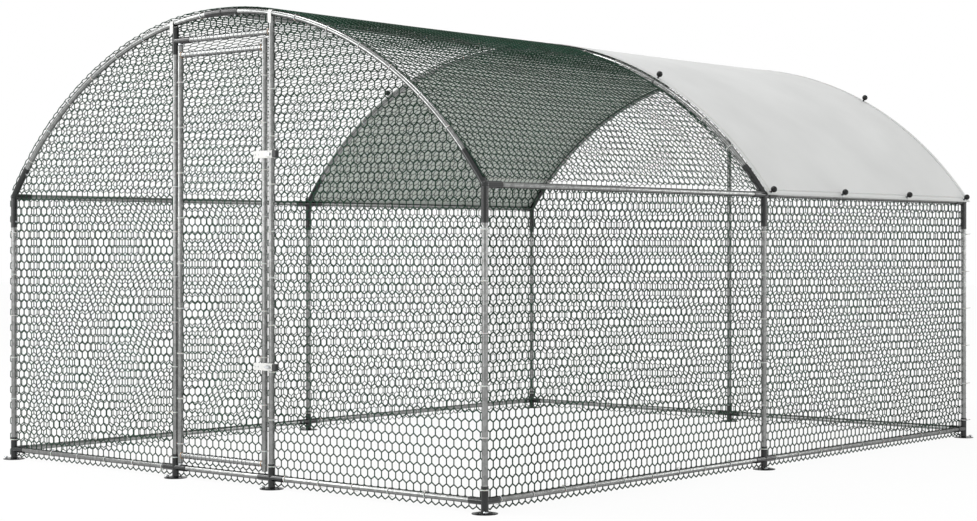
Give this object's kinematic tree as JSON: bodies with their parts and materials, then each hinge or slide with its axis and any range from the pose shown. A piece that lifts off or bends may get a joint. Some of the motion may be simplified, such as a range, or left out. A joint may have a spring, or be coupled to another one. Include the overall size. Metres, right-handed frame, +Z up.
{
  "type": "walk-in poultry run",
  "caption": "Walk-in poultry run: an arched tube frame closed with hexagonal wire netting, with a hinged door, turn latches and a fabric cover over the rear bay.",
  "frame": {"origin": "on the ground in the middle of the feet's outline", "axes": "+Z up, -Y the way the door faces, +X to the right as seen from in front of the door"},
  "size_m": [3.103, 4.063, 2.0656],
  "materials": {
    "tube": "galvanised",
    "fitting": "charcoal powder coat, satin",
    "netting": "dark green coated wire",
    "plated": "zinc plated",
    "latch": "white, satin",
    "grip": "black moulding",
    "cover": "pale silver coated cloth",
    "tie": "black, glossy ball"
  },
  "bodies": {
    "frame": {"foot_front_left": "fitting", "foot_front_right": "fitting", "foot_middle_left": "fitting", "foot_middle_right": "fitting", "foot_rear_left": "fitting", "foot_rear_right": "fitting", "foot_door_left": "fitting", "foot_door_right": "fitting", "foot_rear_centre": "fitting", "eave_joint_front_left": "fitting", "eave_joint_front_right": "fitting", "eave_joint_middle_left": "fitting", "eave_joint_middle_right": "fitting", "eave_joint_rear_left": "fitting", "eave_joint_rear_right": "fitting", "apex_joint_front": "fitting", "apex_joint_middle": "fitting", "apex_joint_rear": "fitting", "lintel_joint": "fitting", "post_front_left": "tube", "post_front_right": "tube", "post_middle_left": "tube", "post_middle_right": "tube", "post_rear_left": "tube", "post_rear_right": "tube", "post_rear_centre": "tube", "door_post_left": "tube", "door_post_right": "tube", "base_rails_front": "tube", "base_rails_rear": "tube", "base_rails_left": "tube", "base_rails_right": "tube", "eave_rails_left": "tube", "eave_rails_right": "tube", "ridge_rails": "tube", "arch_front": "tube", "arch_middle": "tube", "arch_rear": "tube", "door_lintel": "tube", "net_front_left": "netting", "net_front_right": "netting", "net_front_top": "netting", "net_front_sill": "netting", "net_rear": "netting", "net_left": "netting", "net_right": "netting", "net_roof_front": "netting", "net_roof_rear": "netting", "post_straps": "latch", "hinge_pins": "plated", "roof_cover": "cover", "cover_ties": "tie"},
    "door": {"door_frame": "tube", "net_door": "netting", "hinge_bushes": "grip", "hasp_upper": "latch", "hasp_lower": "latch", "hasp_grips": "grip"},
    "upper_swivel": {"latch_swivel_upper": "plated"},
    "lower_swivel": {"latch_swivel_lower": "plated"}
  },
  "joints": [
    {"name": "door_swing", "type": "hinge", "parent": "frame", "child": "door", "pos_m": [-0.277, -1.98, 1], "axis": [0, 0, -1], "range_deg": [0, 110]},
    {"name": "upper_latch_turn", "type": "hinge", "parent": "frame", "child": "upper_swivel", "pos_m": [0.31, -1.98, 1.419], "axis": [0, 1, 0], "range_deg": [0, 90]},
    {"name": "lower_latch_turn", "type": "hinge", "parent": "frame", "child": "lower_swivel", "pos_m": [0.31, -1.98, 0.518], "axis": [0, 1, 0], "range_deg": [0, 90]}
  ]
}
